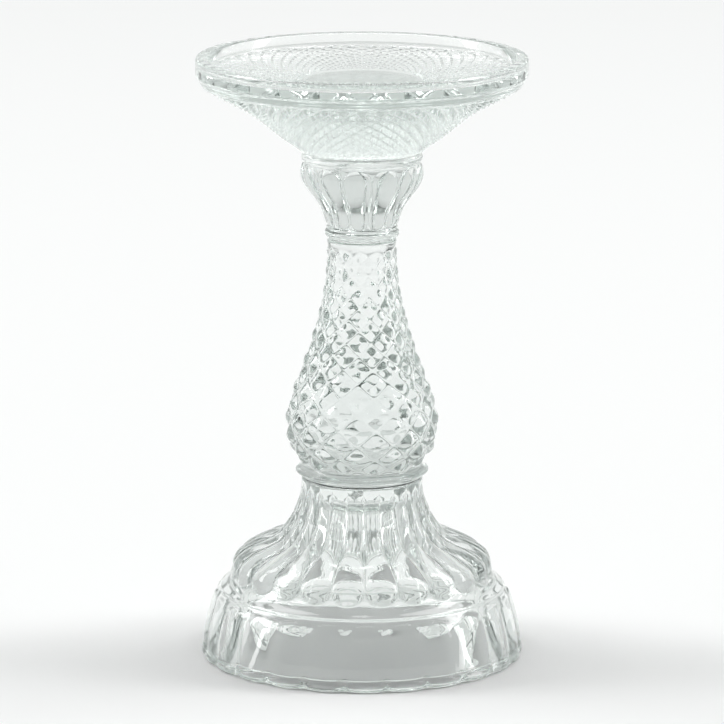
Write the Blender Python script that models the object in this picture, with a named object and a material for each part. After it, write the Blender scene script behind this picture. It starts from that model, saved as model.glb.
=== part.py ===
"""Pressed-glass candlestick for a pillar candle.

Four pieces of clear glass stand one on another: a hollow bell foot with petals, a diamond-cut
baluster stem, a fluted crown and a wide candle dish. A thin disc of clear adhesive joins each
pair. The origin is on the axis at the resting plane, +Z is up, and -Y is the front.
Lengths are in metres and angles in degrees. Azimuth runs from the front towards +X.
"""

import math

import bmesh
import bpy

# ---- joints ----
BOND_THICKNESS = 0.0004
GLASS_GAP = 0.0003
BOND_INSET = 0.0008

# ---- foot ----
FOOT_HEIGHT = 0.0700
FOOT_RADIUS = 0.0622
FOOT_WALL = 0.0055
FOOT_CROWN_WALL = 0.0090
BEAD_HEIGHT = 0.0042
BEAD_RELIEF = 0.0003
SKIRT_HEIGHT = 0.364 * FOOT_HEIGHT
SKIRT_TOP_RADIUS = 0.911 * FOOT_RADIUS
SHOULDER_HEIGHT = 0.571 * FOOT_HEIGHT
SHOULDER_RADIUS = 0.772 * FOOT_RADIUS
PETAL_TIP_HEIGHT = 0.464 * FOOT_HEIGHT
PETAL_TIP_LENGTH = 0.093 * FOOT_HEIGHT
PETAL_COUNT = 24
PETAL_RELIEF = 0.0023
PETAL_TIP_RELIEF = 0.0010
PANEL_RELIEF = 0.0007
PANEL_ARCH = 0.0022
NECK_RADIUS = 0.0236
NECK_BAND_HEIGHT = 0.0042
NECK_EDGE_ROUND = 0.0005
FOOT_CLOCKING = 1.3

# ---- stem ----
STEM_HEIGHT = 0.0930
BELLY_RADIUS = 0.0299
BELLY_HEIGHT = 0.220 * STEM_HEIGHT
STEM_TOP_RADIUS = 0.0136
STEM_FOOT_RADIUS = NECK_RADIUS + 0.0004
STEM_STEP_RADIUS = NECK_RADIUS + 0.0001
STEM_STEP_HEIGHT = 0.0014
STEM_PLAIN_BAND = 0.0014
FLANGE_RADIUS = NECK_RADIUS + 0.0022
FLANGE_THICKNESS = 0.0014
FLANGE_SLOPE = 0.0026
FLANGE_INSET = 0.0009
STEM_DIAMONDS = 12
STEM_HALF_ROWS = 17
STEM_ROW_SPREAD = 0.7
STEM_CUT = 0.105
STEM_CLOCKING = -4.0

# ---- crown ----
CROWN_HEIGHT = 0.0325
CROWN_LIP_RADIUS = 0.0240
CROWN_LIP_ROUND = 0.0014
CROWN_WAIST_RADIUS = STEM_TOP_RADIUS + 0.0004
CROWN_WAIST_HEIGHT = 0.0062
CROWN_BEAD_RADIUS = STEM_TOP_RADIUS + 0.0008
CROWN_BEAD_HEIGHT = 0.0038
FLUTE_COUNT = 12
FLUTE_DEPTH = 0.0013
FLUTE_END_GAP = 0.0022
FLUTE_TOP_FADE = 0.0050
FLUTE_FOOT_FADE = 0.0035
CROWN_CLOCKING = -5.0

# ---- dish ----
DISH_HEIGHT = 0.0365
DISH_RADIUS = 0.0638
DISH_SEAT_RADIUS = CROWN_LIP_RADIUS - 0.5 * CROWN_LIP_ROUND
DISH_PLAIN_BAND = 0.0012
DISH_BAND_GAP = 0.0003
RIM_BAND_HEIGHT = 0.0076
RIM_WIDTH = 0.0042
RIM_ROUND = 0.0010
RECESS_DEPTH = 0.0042
RECESS_FILLET = 0.0012
DISH_DIAMONDS = 48
DISH_HALF_ROWS = 18
DISH_ROW_SPREAD = 1.0
DISH_CUT = 0.045
DISH_RISE_SHARES = (0.0, 0.27, 0.49, 0.70, 0.81, 0.91, 1.0)
DISH_FLARE_SHARES = (0.0, 0.27, 0.46, 0.73, 0.89, 0.98, 1.0)
DISH_CLOCKING = 0.0

# ---- mesh fineness ----
ROUND_STEPS = 96
STEPS_PER_PETAL = 4
STEPS_PER_FLUTE = 6
CAVITY_STEPS = 48
UNDERSIDE_STEPS = 6
LATTICE_SAMPLES = 400

# ---- levels, from the resting plane up ----
JOINT_HEIGHT = BOND_THICKNESS + 2 * GLASS_GAP
STEM_BASE = FOOT_HEIGHT + JOINT_HEIGHT
CROWN_BASE = STEM_BASE + STEM_HEIGHT + JOINT_HEIGHT
DISH_BASE = CROWN_BASE + CROWN_HEIGHT + JOINT_HEIGHT

# ---- looks ----
GLASS_COLOUR = (0.86, 0.91, 0.90, 1.0)
GLASS_ROUGHNESS = 0.02
BOND_COLOUR = (0.90, 0.92, 0.90, 1.0)
BOND_ROUGHNESS = 0.08
REFRACTIVE_INDEX = 1.5
SMOOTH_CREASE = 50.0
STEM_CREASE = 20.0
DISH_CREASE = 30.0


# ---------------------------------------------------------------- curves

def blend(start, end, share):
    return start + (end - start) * share


def smooth_step(value):
    value = min(max(value, 0.0), 1.0)
    return value * value * (3.0 - 2.0 * value)


def spline(points, steps):
    """A Catmull-Rom curve through (radius, height) points, with steps between each pair."""
    padded = [points[0]] + list(points) + [points[-1]]
    path = []
    for a, b, c, d in zip(padded, padded[1:], padded[2:], padded[3:]):
        for step in range(steps):
            t = step / steps
            path.append(tuple(
                0.5 * (2 * b[i] + (c[i] - a[i]) * t + (2 * a[i] - 5 * b[i] + 4 * c[i] - d[i]) * t * t
                       + (3 * b[i] - a[i] - 3 * c[i] + d[i]) * t ** 3)
                for i in range(2)))
    path.append(points[-1])
    return path


def arc(centre_radius, centre_height, round_radius, start, end, steps):
    """Points round a fillet, in degrees from +radius towards +height."""
    angles = [math.radians(blend(start, end, step / steps)) for step in range(steps + 1)]
    return [(centre_radius + round_radius * math.cos(angle),
             centre_height + round_radius * math.sin(angle)) for angle in angles]


def radius_at(path, height):
    """The radius that a rising path has at one height."""
    for (r0, z0), (r1, z1) in zip(path, path[1:]):
        if z0 <= height <= z1:
            return blend(r0, r1, (height - z0) / max(z1 - z0, 1e-9))
    return path[0][0] if height < path[0][1] else path[-1][0]


# ---------------------------------------------------------------- meshes

def add_ring(bm, path_point, steps, clocking=0.0, relief=None):
    """A closed ring of points. relief(azimuth share, height) moves each point outwards."""
    radius, height = path_point
    ring = []
    for step in range(steps):
        angle = math.radians(clocking) + math.tau * step / steps
        out = radius + (relief(step, height) if relief else 0.0)
        ring.append(bm.verts.new((out * math.sin(angle), -out * math.cos(angle), height)))
    return ring


def bridge(bm, first, second):
    """Joins two rings. The larger count is a whole multiple of the smaller."""
    if len(first) == len(second):
        for i in range(len(first)):
            j = (i + 1) % len(first)
            bm.faces.new((first[i], first[j], second[j], second[i]))
        return
    coarse, fine = (first, second) if len(first) < len(second) else (second, first)
    ratio = len(fine) // len(coarse)
    half = ratio // 2
    for i, corner in enumerate(coarse):
        following = coarse[(i + 1) % len(coarse)]
        for k in range(ratio):
            a = fine[(i * ratio + k) % len(fine)]
            b = fine[(i * ratio + k + 1) % len(fine)]
            bm.faces.new((corner if k < half else following, a, b))
        bm.faces.new((corner, following, fine[(i * ratio + half) % len(fine)]))


def cap(bm, ring, height):
    centre = bm.verts.new((0.0, 0.0, height))
    for i in range(len(ring)):
        bm.faces.new((ring[i], ring[(i + 1) % len(ring)], centre))


def turn(bm, path, steps, start_ring=None, clocking=0.0):
    """Turned walls along a path, continued from start_ring where one is given."""
    previous = start_ring
    for point in path:
        ring = add_ring(bm, point, steps, clocking)
        if previous:
            bridge(bm, previous, ring)
        previous = ring
    return previous


def diamond_levels(path, bottom, top, half_rows, spread):
    """Heights of the lattice rows: each is taller where the body is wider."""
    heights = [blend(bottom, top, i / LATTICE_SAMPLES) for i in range(LATTICE_SAMPLES + 1)]
    run = [0.0]
    for z0, z1 in zip(heights, heights[1:]):
        r0, r1 = radius_at(path, z0), radius_at(path, z1)
        run.append(run[-1] + math.hypot(z1 - z0, r1 - r0) / (0.5 * (r0 + r1)) ** spread)
    levels = []
    for row in range(half_rows + 1):
        target = run[-1] * row / half_rows
        index = min(range(len(run)), key=lambda i: abs(run[i] - target))
        levels.append(heights[index])
    return levels


def add_diamonds(bm, path, levels, count, cut, clocking):
    """Four-sided pyramids between crossing grooves. Returns the lowest and highest zigzag ring.

    Groove crossings lie at whole columns on even levels and between them on odd levels, and the
    pyramid points lie at the other places. cut is the groove's depth as a share of the radius.
    """
    grid = []
    for level, height in enumerate(levels):
        outer = radius_at(path, height)
        ring = []
        for step in range(2 * count):
            is_crossing = (step + level) % 2 == 0
            radius = outer * (1.0 - cut) if is_crossing else outer
            angle = math.radians(clocking) + math.tau * step / (2 * count)
            ring.append(bm.verts.new((radius * math.sin(angle), -radius * math.cos(angle), height)))
        grid.append(ring)
    for lower, upper, level in zip(grid, grid[1:], range(len(levels))):
        for step in range(2 * count):
            following = (step + 1) % (2 * count)
            if (step + level) % 2 == 0:
                bm.faces.new((lower[step], lower[following], upper[following]))
                bm.faces.new((lower[step], upper[following], upper[step]))
            else:
                bm.faces.new((lower[step], lower[following], upper[step]))
                bm.faces.new((lower[following], upper[following], upper[step]))
    return grid[0], grid[-1]


def glass_material(name, colour, roughness):
    material = bpy.data.materials.new(name)
    material.use_nodes = True
    shader = material.node_tree.nodes["Principled BSDF"]
    shader.inputs["Base Color"].default_value = colour
    shader.inputs["Metallic"].default_value = 0.0
    shader.inputs["Roughness"].default_value = roughness
    shader.inputs["IOR"].default_value = REFRACTIVE_INDEX
    shader.inputs["Transmission Weight"].default_value = 1.0
    return material


def finish(name, bm, material, crease):
    """Makes the object, with its faces turned outwards and its arrises kept sharp."""
    bmesh.ops.recalc_face_normals(bm, faces=bm.faces)
    mesh = bpy.data.meshes.new(name)
    bm.to_mesh(mesh)
    bm.free()
    mesh.shade_smooth()
    mesh.set_sharp_from_angle(angle=math.radians(crease))
    mesh.materials.append(material)
    piece = bpy.data.objects.new(name, mesh)
    bpy.context.scene.collection.objects.link(piece)
    return piece


# ---------------------------------------------------------------- foot

def foot_outline():
    """The foot's outside over the petals' crests, from the bead up to the neck."""
    neck_height = FOOT_HEIGHT - NECK_BAND_HEIGHT
    skirt_radius = FOOT_RADIUS - BEAD_RELIEF
    rise = neck_height - SHOULDER_HEIGHT
    flare = SHOULDER_RADIUS - NECK_RADIUS
    points = [
        (skirt_radius, BEAD_HEIGHT),
        (blend(skirt_radius, SKIRT_TOP_RADIUS, 0.40), blend(BEAD_HEIGHT, SKIRT_HEIGHT, 0.60)),
        (SKIRT_TOP_RADIUS, SKIRT_HEIGHT),
        (blend(SKIRT_TOP_RADIUS, SHOULDER_RADIUS, 0.40), blend(SKIRT_HEIGHT, PETAL_TIP_HEIGHT, 0.65)),
        (blend(SKIRT_TOP_RADIUS, SHOULDER_RADIUS, 0.62), PETAL_TIP_HEIGHT + 0.10 * PETAL_TIP_LENGTH),
        (SHOULDER_RADIUS, SHOULDER_HEIGHT),
        (SHOULDER_RADIUS - 0.25 * flare, SHOULDER_HEIGHT + 0.14 * rise),
        (SHOULDER_RADIUS - 0.62 * flare, SHOULDER_HEIGHT + 0.31 * rise),
        (SHOULDER_RADIUS - 0.84 * flare, SHOULDER_HEIGHT + 0.54 * rise),
        (SHOULDER_RADIUS - 0.94 * flare, SHOULDER_HEIGHT + 0.79 * rise),
        (NECK_RADIUS, neck_height),
    ]
    return spline(points, 2)


def foot_relief(step, height):
    """Petals above the smooth band and arched panels below it, half a petal out of step."""
    across = (step % STEPS_PER_PETAL) / STEPS_PER_PETAL * 2.0 - 1.0
    neck_height = FOOT_HEIGHT - NECK_BAND_HEIGHT
    if height > PETAL_TIP_HEIGHT:
        rise = height - PETAL_TIP_HEIGHT
        shallow = smooth_step(rise / (SHOULDER_HEIGHT - PETAL_TIP_HEIGHT))
        run_out = smooth_step((neck_height - height) / (0.4 * (neck_height - SHOULDER_HEIGHT)))
        into_tip = min(rise / PETAL_TIP_LENGTH, 1.0)
        width = math.sqrt(1.0 - (1.0 - into_tip) ** 2)
        crest = max(0.0, 1.0 - (across / width) ** 2) if width > 0.05 else 0.0
        return blend(PETAL_TIP_RELIEF, PETAL_RELIEF, shallow) * run_out * (crest - 1.0)
    panel = 1.0 - abs(across)
    arch = SKIRT_HEIGHT - PANEL_ARCH * panel ** 2
    if height < arch:
        return PANEL_RELIEF * (1.0 - panel ** 2)
    return -PETAL_TIP_RELIEF * smooth_step((height - SKIRT_HEIGHT) / (PETAL_TIP_HEIGHT - SKIRT_HEIGHT))


def foot_cavity():
    """The smooth hollow that the plunger leaves, from its mouth to its top."""
    top = FOOT_HEIGHT - FOOT_CROWN_WALL
    shoulder = SHOULDER_RADIUS - FOOT_WALL
    rise = top - SHOULDER_HEIGHT
    points = [
        (FOOT_RADIUS - FOOT_WALL, 0.0),
        (SKIRT_TOP_RADIUS - 1.27 * FOOT_WALL, 0.80 * SKIRT_HEIGHT),
        (SHOULDER_RADIUS - 1.09 * FOOT_WALL, PETAL_TIP_HEIGHT - 0.36 * FOOT_WALL),
        (0.80 * shoulder, SHOULDER_HEIGHT - 0.27 * FOOT_WALL),
        (0.52 * shoulder, SHOULDER_HEIGHT + 0.22 * rise),
        (0.65 * NECK_RADIUS, SHOULDER_HEIGHT + 0.62 * rise),
        (0.42 * NECK_RADIUS, SHOULDER_HEIGHT + 0.95 * rise),
    ]
    return spline(points, 2)


def make_foot(material):
    bm = bmesh.new()
    steps = PETAL_COUNT * STEPS_PER_PETAL
    bead_centre = FOOT_RADIUS - BEAD_HEIGHT / 2
    bead = arc(bead_centre, BEAD_HEIGHT / 2, BEAD_HEIGHT / 2, -90.0, 60.0, 4)
    base_ring = add_ring(bm, bead[0], steps, FOOT_CLOCKING)
    ring = turn(bm, bead[1:], steps, base_ring, FOOT_CLOCKING)
    for point in foot_outline():
        following = add_ring(bm, point, steps, FOOT_CLOCKING, foot_relief)
        bridge(bm, ring, following)
        ring = following
    band = [(NECK_RADIUS, FOOT_HEIGHT - NECK_EDGE_ROUND), (NECK_RADIUS - NECK_EDGE_ROUND, FOOT_HEIGHT)]
    ring = turn(bm, band, steps, ring, FOOT_CLOCKING)
    cap(bm, ring, FOOT_HEIGHT)
    ring = turn(bm, foot_cavity(), CAVITY_STEPS, base_ring, FOOT_CLOCKING)
    cap(bm, ring, FOOT_HEIGHT - FOOT_CROWN_WALL)
    return finish("foot", bm, material, SMOOTH_CREASE)


# ---------------------------------------------------------------- stem

def stem_outline():
    """The pear-shaped body over the diamonds' points, from the flange up to the top."""
    belly = STEM_BASE + BELLY_HEIGHT
    top = STEM_BASE + STEM_HEIGHT
    low = STEM_BASE + STEM_STEP_HEIGHT + FLANGE_THICKNESS + FLANGE_SLOPE
    drop = BELLY_RADIUS - STEM_TOP_RADIUS
    rise = top - belly
    points = [
        (STEM_FOOT_RADIUS, low),
        (blend(STEM_FOOT_RADIUS, BELLY_RADIUS, 0.54), blend(low, belly, 0.27)),
        (blend(STEM_FOOT_RADIUS, BELLY_RADIUS, 0.88), blend(low, belly, 0.58)),
        (BELLY_RADIUS, belly),
        (BELLY_RADIUS - 0.10 * drop, belly + 0.14 * rise),
        (BELLY_RADIUS - 0.29 * drop, belly + 0.26 * rise),
        (BELLY_RADIUS - 0.51 * drop, belly + 0.39 * rise),
        (BELLY_RADIUS - 0.72 * drop, belly + 0.54 * rise),
        (BELLY_RADIUS - 0.86 * drop, belly + 0.67 * rise),
        (BELLY_RADIUS - 0.94 * drop, belly + 0.79 * rise),
        (STEM_TOP_RADIUS, top),
    ]
    return spline(points, 6)


def make_stem(material):
    bm = bmesh.new()
    outline = stem_outline()
    low = outline[0][1]
    top = STEM_BASE + STEM_HEIGHT
    flange_round = FLANGE_THICKNESS / 2
    lip = STEM_BASE + STEM_STEP_HEIGHT + flange_round
    flange = [(STEM_STEP_RADIUS - NECK_EDGE_ROUND, STEM_BASE)]
    flange += [(STEM_STEP_RADIUS, STEM_BASE + NECK_EDGE_ROUND)]
    flange += arc(FLANGE_RADIUS - flange_round, lip, flange_round, -75.0, 75.0, 4)
    flange += [(STEM_FOOT_RADIUS - FLANGE_INSET, low)]
    base_ring = add_ring(bm, flange[0], ROUND_STEPS, STEM_CLOCKING)
    cap(bm, base_ring, STEM_BASE)
    ring = turn(bm, flange[1:], ROUND_STEPS, base_ring, STEM_CLOCKING)
    levels = diamond_levels(outline, low + STEM_PLAIN_BAND, top - 2 * STEM_PLAIN_BAND, STEM_HALF_ROWS,
                            STEM_ROW_SPREAD)
    lowest, highest = add_diamonds(bm, outline, levels, STEM_DIAMONDS, STEM_CUT, STEM_CLOCKING)
    bridge(bm, ring, lowest)
    neck = [(STEM_TOP_RADIUS * (1.0 - 0.5 * STEM_CUT), top - STEM_PLAIN_BAND), (STEM_TOP_RADIUS, top)]
    neck_ring = add_ring(bm, neck[0], ROUND_STEPS, STEM_CLOCKING)
    bridge(bm, highest, neck_ring)
    ring = turn(bm, neck[1:], ROUND_STEPS, neck_ring, STEM_CLOCKING)
    cap(bm, ring, top)
    return finish("baluster_stem", bm, material, STEM_CREASE)


# ---------------------------------------------------------------- crown

def crown_outline():
    """The cup over the flutes' crests, from the waist up to the lip."""
    waist = CROWN_BASE + CROWN_WAIST_HEIGHT
    lip = CROWN_BASE + CROWN_HEIGHT
    rise = lip - waist
    flare = CROWN_LIP_RADIUS - CROWN_WAIST_RADIUS
    points = [
        (CROWN_WAIST_RADIUS, CROWN_BASE + 1.1 * CROWN_BEAD_HEIGHT),
        (CROWN_WAIST_RADIUS, waist),
        (CROWN_WAIST_RADIUS + 0.19 * flare, waist + 0.19 * rise),
        (CROWN_WAIST_RADIUS + 0.60 * flare, waist + 0.39 * rise),
        (CROWN_WAIST_RADIUS + 0.90 * flare, waist + 0.58 * rise),
        (CROWN_LIP_RADIUS, waist + 0.80 * rise),
        (CROWN_LIP_RADIUS - 0.14 * CROWN_LIP_ROUND, lip - 1.14 * CROWN_LIP_ROUND),
        (CROWN_LIP_RADIUS - 0.57 * CROWN_LIP_ROUND, lip - 0.29 * CROWN_LIP_ROUND),
        (CROWN_LIP_RADIUS - CROWN_LIP_ROUND, lip),
    ]
    return spline(points, 2)


def flute_relief(step, height):
    """Narrow grooves between convex flutes, run out at the lip and above the waist."""
    across = abs((step % STEPS_PER_FLUTE) / STEPS_PER_FLUTE * 2.0 - 1.0)
    below_lip = CROWN_BASE + CROWN_HEIGHT - FLUTE_END_GAP - height
    above_bead = height - CROWN_BASE - CROWN_BEAD_HEIGHT
    fade = smooth_step(below_lip / FLUTE_TOP_FADE) * smooth_step(above_bead / FLUTE_FOOT_FADE)
    return -FLUTE_DEPTH * fade * across ** 3


def make_crown(material):
    bm = bmesh.new()
    steps = FLUTE_COUNT * STEPS_PER_FLUTE
    bead_round = CROWN_BEAD_HEIGHT / 2
    bead_centre = CROWN_BEAD_RADIUS - bead_round
    bead = arc(bead_centre, CROWN_BASE + bead_round, bead_round, -75.0, 65.0, 4)
    clocking = CROWN_CLOCKING + 180.0 / FLUTE_COUNT
    base_ring = add_ring(bm, (bead_centre, CROWN_BASE), steps, clocking)
    cap(bm, base_ring, CROWN_BASE)
    ring = turn(bm, bead, steps, base_ring, clocking)
    for point in crown_outline():
        following = add_ring(bm, point, steps, clocking, flute_relief)
        bridge(bm, ring, following)
        ring = following
    cap(bm, ring, CROWN_BASE + CROWN_HEIGHT)
    return finish("fluted_crown", bm, material, SMOOTH_CREASE)


# ---------------------------------------------------------------- dish

def dish_underside():
    """The trumpet flare over the diamonds' points, from the seat up to the rim band."""
    top = DISH_BASE + DISH_HEIGHT - RIM_BAND_HEIGHT
    edge = DISH_RADIUS - RIM_ROUND
    points = [(blend(DISH_SEAT_RADIUS, edge, flare), blend(DISH_BASE, top, rise))
              for rise, flare in zip(DISH_RISE_SHARES, DISH_FLARE_SHARES)]
    return spline(points, UNDERSIDE_STEPS)


def make_dish(material):
    bm = bmesh.new()
    underside = dish_underside()
    top = DISH_BASE + DISH_HEIGHT
    band_base = top - RIM_BAND_HEIGHT
    seat = add_ring(bm, underside[0], ROUND_STEPS, DISH_CLOCKING)
    cap(bm, seat, DISH_BASE)
    levels = diamond_levels(underside, DISH_BASE + DISH_PLAIN_BAND, band_base - DISH_BAND_GAP,
                            DISH_HALF_ROWS, DISH_ROW_SPREAD)
    lowest, highest = add_diamonds(bm, underside, levels, DISH_DIAMONDS, DISH_CUT, DISH_CLOCKING)
    bridge(bm, seat, lowest)
    inner_edge = DISH_RADIUS - RIM_WIDTH
    floor = top - RECESS_DEPTH
    rim = arc(DISH_RADIUS - RIM_ROUND, band_base + RIM_ROUND, RIM_ROUND, -60.0, 0.0, 1)
    rim += arc(DISH_RADIUS - RIM_ROUND, top - RIM_ROUND, RIM_ROUND, 0.0, 90.0, 2)
    rim += arc(inner_edge + RIM_ROUND, top - RIM_ROUND, RIM_ROUND, 90.0, 180.0, 2)
    rim += [(inner_edge - 0.3 * RECESS_FILLET, floor + 0.6 * RECESS_FILLET),
            (inner_edge - RECESS_FILLET, floor)]
    ring = turn(bm, rim, ROUND_STEPS, highest, DISH_CLOCKING)
    cap(bm, ring, floor)
    return finish("candle_dish", bm, material, DISH_CREASE)


# ---------------------------------------------------------------- adhesive

def make_bond(name, base, seat_radius, material):
    """A clear disc of adhesive that lies in the joint above one seat."""
    bm = bmesh.new()
    radius = seat_radius - BOND_INSET
    low = add_ring(bm, (radius, base), CAVITY_STEPS)
    high = add_ring(bm, (radius, base + BOND_THICKNESS), CAVITY_STEPS)
    cap(bm, low, base)
    bridge(bm, low, high)
    cap(bm, high, base + BOND_THICKNESS)
    return finish(name, bm, material, DISH_CREASE)


def main():
    for old in list(bpy.data.objects):
        bpy.data.objects.remove(old)
    glass = glass_material("pressed_glass", GLASS_COLOUR, GLASS_ROUGHNESS)
    adhesive = glass_material("clear_adhesive", BOND_COLOUR, BOND_ROUGHNESS)
    make_foot(glass)
    make_bond("foot_bond", FOOT_HEIGHT + GLASS_GAP, NECK_RADIUS, adhesive)
    make_stem(glass)
    stem_seat = min(STEM_TOP_RADIUS, CROWN_BEAD_RADIUS - CROWN_BEAD_HEIGHT / 2)
    make_bond("crown_bond", STEM_BASE + STEM_HEIGHT + GLASS_GAP, stem_seat, adhesive)
    make_crown(glass)
    crown_seat = min(DISH_SEAT_RADIUS, CROWN_LIP_RADIUS - CROWN_LIP_ROUND)
    make_bond("dish_bond", CROWN_BASE + CROWN_HEIGHT + GLASS_GAP, crown_seat, adhesive)
    make_dish(glass)


main()
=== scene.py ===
"""The looks of a pressed-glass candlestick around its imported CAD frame.

Each glass piece is one closed mesh: an outline turned round the axis, with petals, panels, flutes or
diamonds raised on it along the outline's own normal. Outlines are lists of (radius, height) points
in millimetres. Azimuth runs from the front (-Y) towards +X, and a lobe is one petal, panel or flute.
"""

import math

import bpy
import numpy as np
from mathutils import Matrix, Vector


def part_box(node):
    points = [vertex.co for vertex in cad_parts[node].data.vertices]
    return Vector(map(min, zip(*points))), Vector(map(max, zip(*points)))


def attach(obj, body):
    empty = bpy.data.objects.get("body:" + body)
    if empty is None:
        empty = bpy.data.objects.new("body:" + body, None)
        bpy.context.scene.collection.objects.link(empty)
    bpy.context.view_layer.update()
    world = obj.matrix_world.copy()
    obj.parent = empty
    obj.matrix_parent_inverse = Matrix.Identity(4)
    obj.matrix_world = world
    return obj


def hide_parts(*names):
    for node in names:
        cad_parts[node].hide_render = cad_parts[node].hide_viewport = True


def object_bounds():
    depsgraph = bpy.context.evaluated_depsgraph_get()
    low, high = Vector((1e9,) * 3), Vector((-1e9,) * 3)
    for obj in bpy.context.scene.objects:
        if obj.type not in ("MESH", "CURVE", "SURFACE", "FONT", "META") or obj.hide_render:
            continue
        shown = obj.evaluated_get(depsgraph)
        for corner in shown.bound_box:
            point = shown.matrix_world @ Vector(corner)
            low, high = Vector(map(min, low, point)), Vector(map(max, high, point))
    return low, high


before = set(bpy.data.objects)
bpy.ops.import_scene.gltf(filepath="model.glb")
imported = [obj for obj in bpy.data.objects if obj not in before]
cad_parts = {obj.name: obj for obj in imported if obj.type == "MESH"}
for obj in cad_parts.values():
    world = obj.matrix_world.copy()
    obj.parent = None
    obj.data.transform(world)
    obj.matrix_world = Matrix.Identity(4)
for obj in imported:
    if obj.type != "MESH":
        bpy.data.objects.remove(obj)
cad_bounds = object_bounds()

MM = 0.001
POLE_RADIUS = 0.5 * MM          # a flat end's last ring, round its point on the axis

# ---------------------------------------------------------------- outlines


def blend(start, end, share):
    return start + (end - start) * share


def smooth_step(value):
    value = np.clip(value, 0.0, 1.0)
    return value * value * (3.0 - 2.0 * value)


def in_metres(points, base=0.0):
    return [(radius * MM, base + height * MM) for radius, height in points]


def spline(points, steps):
    """Catmull-Rom curve through (radius, height) points, without its last point."""
    points = np.array(points, float)
    padded = np.vstack([2 * points[0] - points[1], points, 2 * points[-1] - points[-2]])
    path = []
    for a, b, c, d in zip(padded, padded[1:], padded[2:], padded[3:]):
        for t in np.arange(steps) / steps:
            path.append(0.5 * (2 * b + (c - a) * t + (2 * a - 5 * b + 4 * c - d) * t * t
                               + (3 * b - a - 3 * c + d) * t ** 3))
    return np.array(path)


def line(start, end, steps):
    """Points from start to end, without the last one."""
    share = (np.arange(steps) / steps)[:, None]
    return np.array(start) + (np.array(end) - np.array(start)) * share


def arc(centre, radius, start, end, steps):
    """Points round a fillet, in degrees from +radius towards +height, with both ends."""
    angle = np.radians(np.linspace(start, end, steps + 1))
    return np.stack([centre[0] + radius * np.cos(angle), centre[1] + radius * np.sin(angle)], 1)


def run_along(path):
    """The distance along a path from its first point to each of its points."""
    return np.concatenate([[0.0], np.cumsum(np.hypot(*np.diff(path, axis=0).T))])


def resample(path, spacing):
    """The same path with evenly spaced points."""
    length = run_along(path)
    count = max(int(round(length[-1] / spacing)), 2)
    at = np.linspace(0.0, length[-1], count + 1)
    return np.stack([np.interp(at, length, path[:, 0]), np.interp(at, length, path[:, 1])], 1)


def outward_normals(path):
    tangent = np.gradient(path, axis=0)
    tangent /= np.maximum(np.hypot(*tangent.T), 1e-12)[:, None]
    return np.stack([tangent[:, 1], -tangent[:, 0]], 1)


# ---------------------------------------------------------------- meshes


def polar_piece(name, path, azimuth, relief, diagonal=None):
    """A closed body: rings along the path, joined, with a point on the axis at each end.

    relief moves each point outwards, and no point goes below the path's lowest one. diagonal says
    which way each cell of the grid is split into two triangles.
    """
    rows, columns = relief.shape
    normal = outward_normals(path)
    radius = path[:, :1] + relief * normal[:, :1]
    height = np.maximum(path[:, 1:] + relief * normal[:, 1:], path[:, 1].min())
    x = radius * np.sin(azimuth)[None, :]
    y = -radius * np.cos(azimuth)[None, :]
    points = np.stack([x, y, height], 2).reshape(-1, 3)
    low_pole = len(points)
    points = np.vstack([points, (0, 0, path[0, 1]), (0, 0, path[-1, 1])])
    row = np.arange(rows - 1)[:, None] * columns
    here = np.arange(columns)[None, :]
    right = (here + 1) % columns
    a, b = row + here, row + right
    c, d = b + columns, a + columns
    if diagonal is None:
        diagonal = np.zeros((rows - 1, columns), bool)
    first = np.where(diagonal[..., None], np.stack([a, b, d], -1), np.stack([a, b, c], -1))
    second = np.where(diagonal[..., None], np.stack([b, c, d], -1), np.stack([a, c, d], -1))
    last = (rows - 1) * columns
    ring = np.arange(columns)
    low_fan = np.stack([np.roll(ring, -1), ring, np.full(columns, low_pole)], 1)
    high_fan = np.stack([last + ring, last + np.roll(ring, -1), np.full(columns, low_pole + 1)], 1)
    faces = np.vstack([first.reshape(-1, 3), second.reshape(-1, 3), low_fan, high_fan])
    mesh = bpy.data.meshes.new(name)
    mesh.from_pydata(points.tolist(), [], faces.tolist())
    mesh.shade_smooth()
    mesh.validate()
    piece = bpy.data.objects.new(name, mesh)
    bpy.context.scene.collection.objects.link(piece)
    return piece


def lobe_columns(count, per_lobe, clocking):
    """Azimuths and the place across each lobe, -1 to 1, closer together near the grooves."""
    across = np.sin(np.linspace(-0.5, 0.5, per_lobe + 1)[:-1] * math.pi)
    index = np.arange(count)[:, None]
    azimuth = np.radians(clocking) + (index + 0.5 * (across[None, :] + 1.0)) * math.tau / count
    return azimuth.ravel(), np.tile(across, count)


def groove_distances(columns_at, rows_at, groove_round):
    """How far each point is from the grooves of both directions: about 0 in them, 1 between.

    Places count half cells. Grooves cross where a column's and a row's whole places add to even.
    """
    along, against = rows_at[:, None] + columns_at[None, :], rows_at[:, None] - columns_at[None, :]
    first = np.abs((along + 1.0) % 2.0 - 1.0)
    second = np.abs((against + 1.0) % 2.0 - 1.0)
    return np.sqrt(first ** 2 + groove_round ** 2), np.sqrt(second ** 2 + groove_round ** 2)


def pyramid_relief(columns_at, rows_at, groove_round, ridge_round):
    """Heights, 0 to 1, of four-sided pyramids between the grooves, with softened arrises."""
    first, second = groove_distances(columns_at, rows_at, groove_round)
    return 0.5 * (first + second - np.sqrt((first - second) ** 2 + ridge_round ** 2))


def hobnail_relief(columns_at, rows_at, groove_round, fullness):
    """Heights, 0 to 1, of rounded diamonds between the same grooves."""
    domes = [1.0 - np.clip(1.0 - distance, 0.0, 1.0) ** fullness
             for distance in groove_distances(columns_at, rows_at, groove_round)]
    return domes[0] * domes[1]


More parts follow.
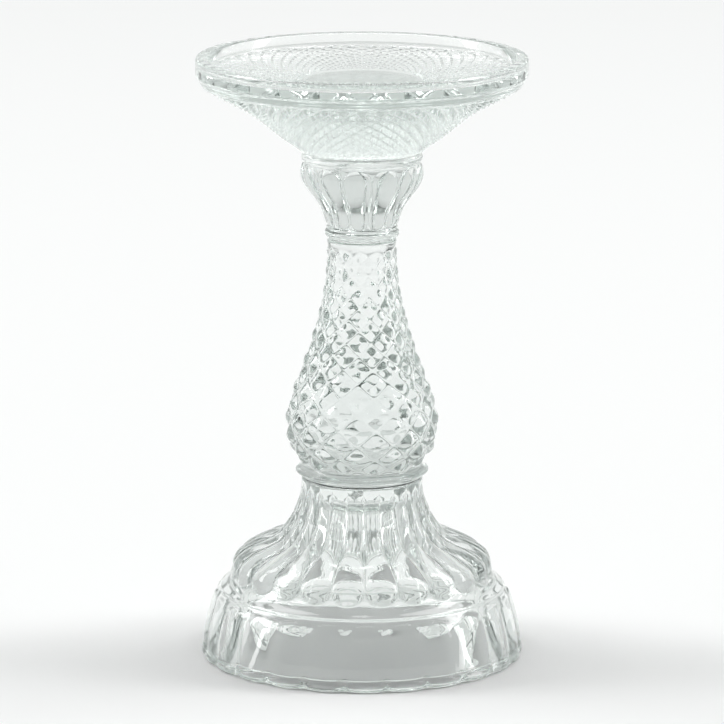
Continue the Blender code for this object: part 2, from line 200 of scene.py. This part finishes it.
def lattice_rows(outline, half_rows, per_row, spread):
    """Outline points for each diamond row, taller where the body is wider, and their places."""
    fine = resample(outline, 0.1 * MM)
    step = np.hypot(*np.diff(fine, axis=0).T)
    run = np.concatenate([[0.0], np.cumsum(step / (0.5 * (fine[1:, 0] + fine[:-1, 0])) ** spread)])
    place = np.linspace(0.0, half_rows, half_rows * per_row + 1)
    at = place / half_rows * run[-1]
    return np.stack([np.interp(at, run, fine[:, 0]), np.interp(at, run, fine[:, 1])], 1), place


def lattice_piece(name, below, rows, above, places, columns_at, azimuth, relief):
    """A turned body with diamonds on its rows, between the plain stretches below and above."""
    path = np.vstack([below, rows, above])
    start, stop = len(below), len(below) + len(rows)
    whole = np.zeros((len(path), len(azimuth)))
    whole[start:stop] = relief
    just_over = 1e-6
    cell = np.floor(columns_at + just_over)[None, :]
    level = np.zeros((len(path) - 1, 1))
    level[start:stop - 1, 0] = np.floor(places[:-1] + just_over)
    diagonal = (cell + level) % 2 == 1
    return polar_piece(name, path, azimuth, whole, diagonal)


def dress(piece, node, material):
    piece.data.materials.append(material)
    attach(piece, "root")
    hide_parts(node)


# ---------------------------------------------------------------- materials

REFRACTIVE_INDEX = 1.5
GLASS_TINT = (0.980, 0.992, 0.986, 1.0)
GLASS_ROUGHNESS = 0.02
GLASS_RIPPLE = 0.08
BOND_TINT = (0.97, 0.98, 0.97, 1.0)
BOND_ROUGHNESS = 0.08
BOND_RIPPLE = 0.15
CLEAREST_SHARE = 0.3            # the glossiest places' roughness, as a share of the roughest
RIPPLE_SCALE = 90.0
HAZE_RANGE = (0.35, 0.75)       # of the ripple, from the glossiest places to the roughest
RIPPLE_DEPTH = 0.2 * MM
DEPTH_COLOUR = (0.70, 0.765, 0.74, 1.0)     # the faint grey-green that thick glass takes on
DEPTH_DENSITY = 8.5


def map_range(tree, source, from_range, to_range, interpolation="LINEAR"):
    node = tree.nodes.new("ShaderNodeMapRange")
    node.interpolation_type = interpolation
    node.inputs["From Min"].default_value, node.inputs["From Max"].default_value = from_range
    node.inputs["To Min"].default_value, node.inputs["To Max"].default_value = to_range
    tree.links.new(source, node.inputs["Value"])
    return node.outputs["Result"]


def make_glass(name, tint, roughness, ripple):
    """Clear glass that greys a little with depth, with a faint ripple and slightly uneven gloss."""
    material = bpy.data.materials.new(name)
    material.use_nodes = True
    tree = material.node_tree
    nodes, links = tree.nodes, tree.links
    shader = nodes["Principled BSDF"]
    shader.inputs["Transmission Weight"].default_value = 1.0
    shader.inputs["IOR"].default_value = REFRACTIVE_INDEX
    shader.inputs["Base Color"].default_value = tint
    place = nodes.new("ShaderNodeTexCoord")
    wave = nodes.new("ShaderNodeTexNoise")
    wave.inputs["Scale"].default_value = RIPPLE_SCALE
    wave.inputs["Detail"].default_value = 2.0
    links.new(place.outputs["Object"], wave.inputs["Vector"])
    bump = nodes.new("ShaderNodeBump")
    bump.inputs["Strength"].default_value = ripple
    bump.inputs["Distance"].default_value = RIPPLE_DEPTH
    links.new(wave.outputs["Fac"], bump.inputs["Height"])
    links.new(bump.outputs["Normal"], shader.inputs["Normal"])
    haze = map_range(tree, wave.outputs["Fac"], HAZE_RANGE, (roughness * CLEAREST_SHARE, roughness))
    links.new(haze, shader.inputs["Roughness"])
    depth = nodes.new("ShaderNodeVolumeAbsorption")
    depth.inputs["Color"].default_value = DEPTH_COLOUR
    depth.inputs["Density"].default_value = DEPTH_DENSITY
    links.new(depth.outputs["Volume"], nodes["Material Output"].inputs["Volume"])
    return material


# ---------------------------------------------------------------- foot

PETALS = 24
COLUMNS_PER_PETAL = 14
FOOT_CLOCKING = 1.3
FOOT_HOLLOW = [(0.3, 61.0), (6.0, 60.7), (11.5, 58.5), (15.0, 53.0), (22.0, 44.5), (34.0, 38.5),
               (41.8, 30.5), (49.6, 20.0), (53.4, 9.0), (56.3, 0.6), (56.8, 0.0)]
FOOT_SKIRT = [(61.9, 4.4), (61.6, 9.0), (60.4, 15.0), (59.2, 19.5), (57.9, 23.4), (55.8, 26.9),
              (53.3, 29.8)]
FOOT_CRESTS = [(51.3, 33.0), (50.3, 36.6), (48.0, 40.0), (42.0, 43.6), (32.6, 47.9)]
FOOT_NECK = [(27.4, 54.4), (26.2, 57.4), (25.0, 60.3), (24.1, 63.0), (23.7, 66.0), (23.6, 68.0)]
FOOT_SPACING = 0.45 * MM
RESTING_RING_INSIDE = 57.0 * MM
RESTING_RING_INSET = 1.0 * MM
BASE_ROUND = 0.8 * MM
BEAD_ROUND = 1.8 * MM
BEAD_HEIGHT = 2.4 * MM
COLLAR_RADIUS = 23.5 * MM
COLLAR_ROUND = 0.5 * MM
FOOT_SEAT_RADIUS = 22.3 * MM
PETAL_TIP_HEIGHT = 31.2 * MM
PETAL_TIP_LENGTH = 6.0 * MM
PETAL_FULLNESS = 0.55
# Height up the foot and the depth of the grooves between the petals there, in millimetres.
PETAL_DEPTHS = [(24.0, 0.0), (27.5, 0.25), (31.5, 1.0), (36.0, 1.5), (42.0, 2.3), (48.0, 2.3),
                (54.0, 1.7), (60.0, 1.3), (66.0, 0.9), (67.8, 0.1)]
ARCH_HEIGHT = 25.6 * MM
ARCH_RISE = 2.6 * MM
ARCH_EDGE = 0.9 * MM
PANEL_STEP = 0.6 * MM
PANEL_CROWN = 1.3 * MM
PANEL_SHARE_AT_BASE = 0.5
PANEL_FADE = 4.0 * MM
BAND_TOP = 27.6 * MM
BAND_FADE = 1.2 * MM
HOLLOW_WAVE = 0.13 * MM
HOLLOW_WAVE_FADE = 20.0 * MM    # the radius where the waves reach their full height
HOLLOW_WAVES = [(5.0, 0.16, 0.0), (9.0, -0.23, 1.0)]    # waves round, lean per mm, phase


def petal_relief(length, height, across, bead_points):
    """Rounded petals with round ends, which run up to the collar at the neck."""
    tip = bead_points + np.argmin(np.abs(height[bead_points:] - PETAL_TIP_HEIGHT))
    beyond = np.clip((length[tip] + PETAL_TIP_LENGTH - length) / PETAL_TIP_LENGTH, 0.0, None)
    inside = np.clip(1.0 - across[None, :] ** 2 - beyond[:, None] ** 2, 0.0, None)
    heights, depths = zip(*PETAL_DEPTHS)
    depth = np.interp(height / MM, heights, depths) * MM
    return depth[:, None] * (inside ** PETAL_FULLNESS - 1.0)


def panel_relief(height, across):
    """Arched panels round the skirt, half a petal out of step, each a little crowned."""
    place = (across + 2.0) % 2.0 - 1.0
    arch = ARCH_HEIGHT - ARCH_RISE * place[None, :] ** 2
    raised = smooth_step((arch - height[:, None]) / ARCH_EDGE)
    step = PANEL_STEP * (raised - 1.0) * smooth_step((BAND_TOP - height) / BAND_FADE)[:, None]
    panels = step - PANEL_CROWN * raised * place[None, :] ** 2
    return panels * blend(PANEL_SHARE_AT_BASE, 1.0, smooth_step(height / PANEL_FADE))[:, None]


def hollow_relief(points, azimuth):
    """The faint unevenness that the plunger leaves in the hollow, less near its top."""
    climb = points[:, 1][:, None] / MM
    wave = sum(np.sin(around * azimuth[None, :] + lean * climb + phase)
               for around, lean, phase in HOLLOW_WAVES)
    return HOLLOW_WAVE * wave * smooth_step(points[:, 0] / HOLLOW_WAVE_FADE)[:, None]


def make_foot(material):
    """Bell foot: a smooth hollow, a bead, arched panels, a plain band and petals up to the neck."""
    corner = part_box("foot")[1]
    outer, top = corner.x, corner.z
    azimuth, across = lobe_columns(PETALS, COLUMNS_PER_PETAL, FOOT_CLOCKING)
    hollow = spline(in_metres(FOOT_HOLLOW), 5)
    hollow[:, 1] = np.maximum(hollow[:, 1], 0.0)
    resting_ring = line((RESTING_RING_INSIDE, 0.0), (outer - RESTING_RING_INSET, 0.0), 4)
    bead = np.vstack([arc((outer - BASE_ROUND, BASE_ROUND), BASE_ROUND, -90.0, -5.0, 5),
                      arc((outer - BEAD_ROUND, BEAD_HEIGHT), BEAD_ROUND, 5.0, 70.0, 6)])
    outside = resample(spline(in_metres(FOOT_SKIRT + FOOT_CRESTS + FOOT_NECK), 9), FOOT_SPACING)
    collar = arc((COLLAR_RADIUS - COLLAR_ROUND, top - COLLAR_ROUND), COLLAR_ROUND, 0.0, 90.0, 5)
    seat = line((FOOT_SEAT_RADIUS, top), (POLE_RADIUS, top), 6)
    path = np.vstack([hollow, resting_ring, bead, outside, collar, seat])
    first = len(hollow) + len(resting_ring)
    last = first + len(bead) + len(outside)
    length, height = run_along(path)[first:last], path[first:last, 1]
    relief = np.zeros((len(path), len(azimuth)))
    relief[first:last] = petal_relief(length, height, across, len(bead)) + panel_relief(height, across)
    inner = slice(1, len(hollow) - 2)
    relief[inner] = hollow_relief(hollow[inner], azimuth)
    dress(polar_piece("glass_foot", path, azimuth, relief), "foot", material)


# ---------------------------------------------------------------- stem

STEM_DIAMONDS = 12
STEM_HALF_ROWS = 17
STEM_ROW_SPREAD = 0.70
STEM_CLOCKING = -4.0
STEM_CUT = 0.062                # the grooves' depth, as a share of the radius
STEM_GROOVE_ROUND = 0.07
STEM_FULLNESS = 1.7
STEM_GRID = 10                  # rows and columns of points in half a diamond
STEM_BASE_RADIUS = 23.1 * MM
STEM_STEP_RADIUS = 23.7 * MM
STEM_STEP_ROUND = 0.4 * MM
FLANGE_RADIUS = 25.8 * MM
FLANGE_ROUND = 0.7 * MM
FLANGE_HEIGHT = 2.2 * MM
# The outlines' heights are above the stem's lower face.
FLANGE_STEP = [(23.7, 0.9), (23.8, 1.3)]
FLANGE_HOLLOW = [(24.6, 3.2), (23.4, 4.3), (23.1, 5.3)]
STEM_BODY = [(24.0, 5.7), (27.2, 9.6), (29.2, 14.2), (29.9, 19.5), (29.5, 25.5), (28.2, 30.5),
             (25.2, 39.0), (21.6, 48.5), (18.2, 59.5), (15.8, 69.0), (14.3, 78.0), (13.5, 89.5)]
STEM_SHOULDER = [(13.2, -2.6), (13.4, -1.5)]    # heights from the stem's top
STEM_TOP_RADIUS = 13.4 * MM
STEM_TOP_ROUND = 0.5 * MM
STEM_SEAT_RADIUS = 12.2 * MM


def make_stem(material):
    """Pear-shaped stem: a flange with a step under it, then staggered diamonds up to the top."""
    low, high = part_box("baluster_stem")
    base, top = low.z, high.z
    columns_at = np.arange(2 * STEM_DIAMONDS * STEM_GRID) / STEM_GRID
    azimuth = math.radians(STEM_CLOCKING) + columns_at * math.tau / (2 * STEM_DIAMONDS)
    step_round = arc((STEM_STEP_RADIUS - STEM_STEP_ROUND, base + STEM_STEP_ROUND), STEM_STEP_ROUND,
                     -90.0, 0.0, 4)
    flange = arc((FLANGE_RADIUS - FLANGE_ROUND, base + FLANGE_HEIGHT), FLANGE_ROUND, -80.0, 75.0, 8)
    below = np.vstack([
        line((POLE_RADIUS, base), (STEM_BASE_RADIUS, base), 6),
        step_round,
        line(*in_metres(FLANGE_STEP, base), 2),
        flange,
        spline(in_metres(FLANGE_HOLLOW, base), 3)])
    rows, places = lattice_rows(spline(in_metres(STEM_BODY, base), 12), STEM_HALF_ROWS, STEM_GRID,
                                STEM_ROW_SPREAD)
    above = np.vstack([
        line(*in_metres(STEM_SHOULDER, top), 2),
        arc((STEM_TOP_RADIUS - STEM_TOP_ROUND, top - STEM_TOP_ROUND), STEM_TOP_ROUND, 0.0, 90.0, 5),
        line((STEM_SEAT_RADIUS, top), (POLE_RADIUS, top), 6)])
    shape = hobnail_relief(columns_at, places, STEM_GROOVE_ROUND, STEM_FULLNESS) - 1.0
    piece = lattice_piece("glass_stem", below, rows, above, places, columns_at, azimuth,
                          STEM_CUT * rows[:, :1] * shape)
    dress(piece, "baluster_stem", material)


# ---------------------------------------------------------------- crown

FLUTES = 12
COLUMNS_PER_FLUTE = 24
CROWN_CLOCKING = 10.0
CROWN_SEAT_RADIUS = 12.4 * MM
CROWN_BEAD_ROUND = 1.8 * MM
CROWN_BEAD_CENTRE = 12.6 * MM
# The cup's heights are above the crown's lower face.
CROWN_CUP = [(13.9, 4.0), (14.1, 5.2), (14.5, 7.4), (15.9, 11.2), (17.3, 13.6), (19.5, 16.5),
             (21.9, 19.8), (23.5, 23.2), (24.0, 27.0), (24.0, 29.9), (23.4, 31.7)]
CROWN_LIP_CENTRE = 22.5 * MM
CROWN_LIP_ROUND = 0.7 * MM
CROWN_TOP_RADIUS = 22.0 * MM
FLUTE_FULLNESS = 0.55
FLUTE_DEPTH_LOW = 1.2 * MM
FLUTE_DEPTH_HIGH = 2.0 * MM
FLUTE_WAIST_RADIUS = 13.8 * MM
FLUTE_DEEPENING = 9.0 * MM
FLUTE_ARCH_START = 8.6 * MM     # below the lip
FLUTE_ARCH_LENGTH = 5.4 * MM
FLUTE_FOOT_END = 7.4 * MM       # above the crown's lower face
FLUTE_FOOT_LENGTH = 3.0 * MM
FLUTE_START = 3.7 * MM          # above the crown's lower face
FLUTE_START_FADE = 1.0 * MM
FLUTE_END = 0.9 * MM            # below the lip
FLUTE_END_FADE = 2.2 * MM


def make_crown(material):
    """Cup of rounded lobes over a bead, with arched tops under the lip."""
    low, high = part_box("fluted_crown")
    base, top = low.z, high.z
    azimuth, across = lobe_columns(FLUTES, COLUMNS_PER_FLUTE, CROWN_CLOCKING)
    bottom = np.vstack([
        line((POLE_RADIUS, base), (CROWN_SEAT_RADIUS, base), 6),
        arc((CROWN_BEAD_CENTRE, base + CROWN_BEAD_ROUND), CROWN_BEAD_ROUND, -90.0, 70.0, 12)])
    outside = spline(in_metres(CROWN_CUP, base), 10)
    rim = np.vstack([
        arc((CROWN_LIP_CENTRE, top - CROWN_LIP_ROUND), CROWN_LIP_ROUND, 20.0, 90.0, 5),
        line((CROWN_TOP_RADIUS, top), (POLE_RADIUS, top), 6)])
    path = np.vstack([bottom, outside, rim])
    start, stop = len(bottom), len(bottom) + len(outside)
    radius, height = outside[:, :1], outside[:, 1:]
    over = np.clip((height - (top - FLUTE_ARCH_START)) / FLUTE_ARCH_LENGTH, 0.0, None)
    under = np.clip((base + FLUTE_FOOT_END - height) / FLUTE_FOOT_LENGTH, 0.0, None)
    inside = np.clip(1.0 - across[None, :] ** 2 - over ** 2 - under ** 2, 0.0, None)
    widening = np.clip((radius - FLUTE_WAIST_RADIUS) / FLUTE_DEEPENING, 0.0, 1.0)
    depth = blend(FLUTE_DEPTH_LOW, FLUTE_DEPTH_HIGH, widening)
    from_bead = smooth_step((height - base - FLUTE_START) / FLUTE_START_FADE)
    to_lip = smooth_step((top - FLUTE_END - height) / FLUTE_END_FADE)
    relief = np.zeros((len(path), len(azimuth)))
    relief[start:stop] = depth * (inside ** FLUTE_FULLNESS - 1.0) * from_bead * to_lip
    dress(polar_piece("glass_crown", path, azimuth, relief), "fluted_crown", material)


# ---------------------------------------------------------------- dish

DISH_DIAMONDS = 48
DISH_HALF_ROWS = 18
DISH_ROW_SPREAD = 1.0
DISH_CUT = 0.052                # the grooves' depth, as a share of the radius
DISH_GROOVE_ROUND = 0.08
DISH_RIDGE_ROUND = 0.10
DISH_GRID = 5                   # rows and columns of points in half a diamond
DISH_FADE_LOW = 0.6             # half rows over which the diamonds start at the seat
DISH_PLAIN_TOP = 0.7            # half rows left plain under the rim band
DISH_FADE_HIGH = 0.7
# The flare's heights are above the dish's lower face.
DISH_FLARE = [(24.4, 0.9), (27.2, 2.9), (31.2, 5.6), (34.9, 8.5), (38.6, 11.6), (42.4, 14.5),
              (47.2, 17.6), (52.6, 20.5), (58.4, 23.6), (61.8, 26.4), (62.6, 28.7)]
DISH_SEAT_RADIUS = 22.3 * MM
DISH_SEAT_CENTRE = 22.6 * MM
DISH_SEAT_ROUND = 0.5 * MM
RIM_BAND_HEIGHT = 7.6 * MM
RIM_LOW_ROUND = 1.5 * MM
RIM_TOP_ROUND = 1.1 * MM
RIM_INNER_ROUND = 1.2 * MM
RIM_TOP_WIDTH = 3.6 * MM
RECESS_DEPTH = 4.2 * MM
RECESS_WALL = 6.4 * MM
RECESS_INSET = 7.0 * MM


def rim_outline(outer, top):
    """The rim band, its rounded top, the recess's wall and its flat floor."""
    band_base = top - RIM_BAND_HEIGHT
    floor = top - RECESS_DEPTH
    fillet = (outer - RECESS_WALL + RIM_INNER_ROUND, floor + RIM_INNER_ROUND)
    return np.vstack([
        arc((outer - RIM_LOW_ROUND, band_base + RIM_LOW_ROUND), RIM_LOW_ROUND, -55.0, 0.0, 6),
        arc((outer - RIM_TOP_ROUND, top - RIM_TOP_ROUND), RIM_TOP_ROUND, 0.0, 90.0, 8),
        arc((outer - RIM_TOP_WIDTH, top - RIM_INNER_ROUND), RIM_INNER_ROUND, 90.0, 165.0, 8),
        arc(fillet, -RIM_INNER_ROUND, -10.0, 90.0, 8),
        line((outer - RECESS_INSET, floor), (POLE_RADIUS, floor), 12)])


def make_dish(material):
    """Wide dish: a trumpet underside with small diamonds, a rim band and a shallow recess."""
    low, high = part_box("candle_dish")
    base, top, outer = low.z, high.z, high.x
    columns_at = np.arange(2 * DISH_DIAMONDS * DISH_GRID) / DISH_GRID
    azimuth = columns_at * math.tau / (2 * DISH_DIAMONDS)
    rows, places = lattice_rows(spline(in_metres(DISH_FLARE, base), 8), DISH_HALF_ROWS, DISH_GRID,
                                DISH_ROW_SPREAD)
    seat = np.vstack([
        line((POLE_RADIUS, base), (DISH_SEAT_RADIUS, base), 8),
        arc((DISH_SEAT_CENTRE, base + DISH_SEAT_ROUND), DISH_SEAT_ROUND, -90.0, -20.0, 4)])
    fade = smooth_step(places / DISH_FADE_LOW)
    fade *= smooth_step((DISH_HALF_ROWS - DISH_PLAIN_TOP - places) / DISH_FADE_HIGH)
    shape = pyramid_relief(columns_at, places, DISH_GROOVE_ROUND, DISH_RIDGE_ROUND) - 1.0
    piece = lattice_piece("glass_dish", seat, rows, rim_outline(outer, top), places, columns_at,
                          azimuth, (DISH_CUT * rows[:, 0] * fade)[:, None] * shape)
    dress(piece, "candle_dish", material)


# ---------------------------------------------------------------- studio

FLOOR_SIZE = 14.0
FLOOR_DROP = 0.2 * MM           # keeps the floor clear of the resting ring
PAPER_COLOUR = (0.9, 0.9, 0.9, 1.0)
PAPER_ROUGHNESS = 0.9
ROOM_GREY = 0.78
CEILING_GREY = 0.50
CEILING_RANGE = (0.15, 0.95)    # the direction's height, from the room's grey to the ceiling's
ROOM_TINT = (0.97, 1.0, 0.985, 1.0)
FRONT_SHADE = 0.02
FRONT_RANGE = (-0.55, -0.10)    # how far the direction points back, from the shade to full grey
OVERHEAD_POWER = 82.0
OVERHEAD_SIZE = (1.0, 4.6)
STRIP_POWER = 78.0
STRIP_SIZE = (1.1, 3.6)
LAMP_TARGET = (0.0, 0.0, 0.12)
LAMPS = [
    ("overhead_left", (-1.7, 0.6, 5.0), OVERHEAD_SIZE, OVERHEAD_POWER),
    ("overhead_right", (1.9, 0.6, 5.0), OVERHEAD_SIZE, OVERHEAD_POWER),
    ("left_strip", (-5.0, 0.8, 2.4), STRIP_SIZE, STRIP_POWER),
    ("right_strip", (5.0, 0.2, 2.4), STRIP_SIZE, STRIP_POWER),
]
LENS = 262.1
SENSOR_WIDTH = 36.0
CAMERA_DISTANCE = 2.041
CAMERA_ELEVATION = 12.38
AIM_SHARE = 0.4912              # of the candlestick's height


def make_floor():
    """A pale sheet of paper, wide enough to fill the camera's view."""
    mesh = bpy.data.meshes.new("studio_floor")
    corners = [(-FLOOR_SIZE, -FLOOR_SIZE, 0), (FLOOR_SIZE, -FLOOR_SIZE, 0),
               (FLOOR_SIZE, FLOOR_SIZE, 0), (-FLOOR_SIZE, FLOOR_SIZE, 0)]
    mesh.from_pydata(corners, [], [(0, 1, 2, 3)])
    floor = bpy.data.objects.new("studio_floor", mesh)
    bpy.context.scene.collection.objects.link(floor)
    floor.location.z = -FLOOR_DROP
    material = bpy.data.materials.new("studio_paper")
    material.use_nodes = True
    shader = material.node_tree.nodes["Principled BSDF"]
    shader.inputs["Base Color"].default_value = PAPER_COLOUR
    shader.inputs["Roughness"].default_value = PAPER_ROUGHNESS
    mesh.materials.append(material)


def soft_box(name, place, size, power):
    """A large, far lamp, so that the floor is evenly lit."""
    light = bpy.data.lights.new(name, "AREA")
    light.shape = "RECTANGLE"
    light.size, light.size_y = size
    light.energy = power
    lamp = bpy.data.objects.new(name, light)
    lamp.location = place
    lamp.rotation_euler = (Vector(LAMP_TARGET) - Vector(place)).to_track_quat("-Z", "Y").to_euler()
    bpy.context.scene.collection.objects.link(lamp)


def make_world():
    """A grey room, darker overhead and nearly black in front, where the camera stands."""
    world = bpy.data.worlds.new("studio")
    bpy.context.scene.world = world
    world.use_nodes = True
    tree = world.node_tree
    place = tree.nodes.new("ShaderNodeTexCoord")
    axes = tree.nodes.new("ShaderNodeSeparateXYZ")
    tree.links.new(place.outputs["Generated"], axes.inputs["Vector"])
    overhead = map_range(tree, axes.outputs["Z"], CEILING_RANGE, (ROOM_GREY, CEILING_GREY), "SMOOTHSTEP")
    front = map_range(tree, axes.outputs["Y"], FRONT_RANGE, (FRONT_SHADE, 1.0), "SMOOTHSTEP")
    both = tree.nodes.new("ShaderNodeMath")
    both.operation = "MULTIPLY"
    tree.links.new(overhead, both.inputs[0])
    tree.links.new(front, both.inputs[1])
    background = tree.nodes["Background"]
    background.inputs["Color"].default_value = ROOM_TINT
    tree.links.new(both.outputs["Value"], background.inputs["Strength"])


def make_camera():
    """A long lens, a little above the dish, aimed just under the middle."""
    low, high = cad_bounds
    aim = Vector((0.0, 0.0, AIM_SHARE * (high[2] - low[2])))
    elevation = math.radians(CAMERA_ELEVATION)
    data = bpy.data.cameras.new("camera")
    data.lens = LENS
    data.sensor_width = SENSOR_WIDTH
    data.clip_end = 50.0
    camera = bpy.data.objects.new("camera", data)
    back = Vector((0.0, -math.cos(elevation), math.sin(elevation)))
    camera.location = aim + back * CAMERA_DISTANCE
    camera.rotation_euler = (-back).to_track_quat("-Z", "Y").to_euler()
    bpy.context.scene.collection.objects.link(camera)
    bpy.context.scene.camera = camera


def set_light_paths():
    """Enough bounces for light to pass all the way through the cut glass."""
    scene = bpy.context.scene
    scene.view_settings.view_transform = "Standard"
    scene.cycles.max_bounces = 32
    scene.cycles.transmission_bounces = 28
    scene.cycles.glossy_bounces = 12
    scene.cycles.diffuse_bounces = 4


glass = make_glass("clear_pressed_glass", GLASS_TINT, GLASS_ROUGHNESS, GLASS_RIPPLE)
adhesive = make_glass("cured_adhesive", BOND_TINT, BOND_ROUGHNESS, BOND_RIPPLE)
make_foot(glass)
make_stem(glass)
make_crown(glass)
make_dish(glass)
for bond in ("foot_bond", "crown_bond", "dish_bond"):
    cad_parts[bond].material_slots[0].material = adhesive
make_floor()
make_world()
for lamp_name, lamp_place, lamp_size, lamp_power in LAMPS:
    soft_box(lamp_name, lamp_place, lamp_size, lamp_power)
make_camera()
set_light_paths()
